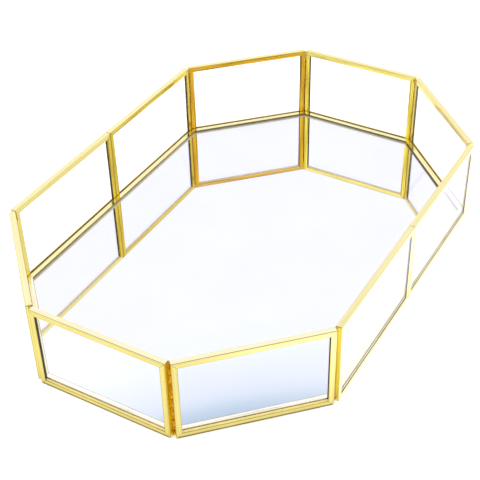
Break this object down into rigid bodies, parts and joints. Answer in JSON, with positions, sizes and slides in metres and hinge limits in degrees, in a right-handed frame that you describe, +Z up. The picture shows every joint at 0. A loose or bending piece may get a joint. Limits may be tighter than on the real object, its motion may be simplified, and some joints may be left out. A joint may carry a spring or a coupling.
{
  "type": "vanity tray",
  "caption": "Long eight-sided vanity tray: clear glass wall panes in folded brass strip round a flat mirror floor, open on top.",
  "frame": {"origin": "middle of the underside, where the tray rests", "axes": "+X along the length towards the front end, +Y towards the right side, +Z up"},
  "size_m": [0.3, 0.2, 0.05],
  "materials": {
    "brass": "polished brass strip with fine rolling lines and hand-folded edges",
    "clear_glass": "clear, polished, very slightly cool",
    "mirror": "second-surface silvered glass with a coated back",
    "solder": "gold-plated solder, uneven and glossy"
  },
  "bodies": {
    "root": {"front_end_glass": "clear_glass", "front_end_bottom_rail": "brass", "front_end_right_post": "brass", "front_end_top_rail": "brass", "front_end_left_post": "brass", "front_right_corner_glass": "clear_glass", "front_right_corner_bottom_rail": "brass", "front_right_corner_right_post": "brass", "front_right_corner_top_rail": "brass", "front_right_corner_left_post": "brass", "right_front_glass": "clear_glass", "right_front_bottom_rail": "brass", "right_front_right_post": "brass", "right_front_top_rail": "brass", "right_front_left_post": "brass", "right_back_glass": "clear_glass", "right_back_bottom_rail": "brass", "right_back_right_post": "brass", "right_back_top_rail": "brass", "right_back_left_post": "brass", "back_right_corner_glass": "clear_glass", "back_right_corner_bottom_rail": "brass", "back_right_corner_right_post": "brass", "back_right_corner_top_rail": "brass", "back_right_corner_left_post": "brass", "back_end_glass": "clear_glass", "back_end_bottom_rail": "brass", "back_end_right_post": "brass", "back_end_top_rail": "brass", "back_end_left_post": "brass", "back_left_corner_glass": "clear_glass", "back_left_corner_bottom_rail": "brass", "back_left_corner_right_post": "brass", "back_left_corner_top_rail": "brass", "back_left_corner_left_post": "brass", "left_back_glass": "clear_glass", "left_back_bottom_rail": "brass", "left_back_right_post": "brass", "left_back_top_rail": "brass", "left_back_left_post": "brass", "left_front_glass": "clear_glass", "left_front_bottom_rail": "brass", "left_front_right_post": "brass", "left_front_top_rail": "brass", "left_front_left_post": "brass", "front_left_corner_glass": "clear_glass", "front_left_corner_bottom_rail": "brass", "front_left_corner_right_post": "brass", "front_left_corner_top_rail": "brass", "front_left_corner_left_post": "brass", "base_rail_front_end": "brass", "base_rail_front_right_corner": "brass", "base_rail_right": "brass", "base_rail_back_right_corner": "brass", "base_rail_back_end": "brass", "base_rail_back_left_corner": "brass", "base_rail_left": "brass", "base_rail_front_left_corner": "brass", "mirror_plate": "mirror", "corner_solder": "solder"}
  },
  "joints": []
}
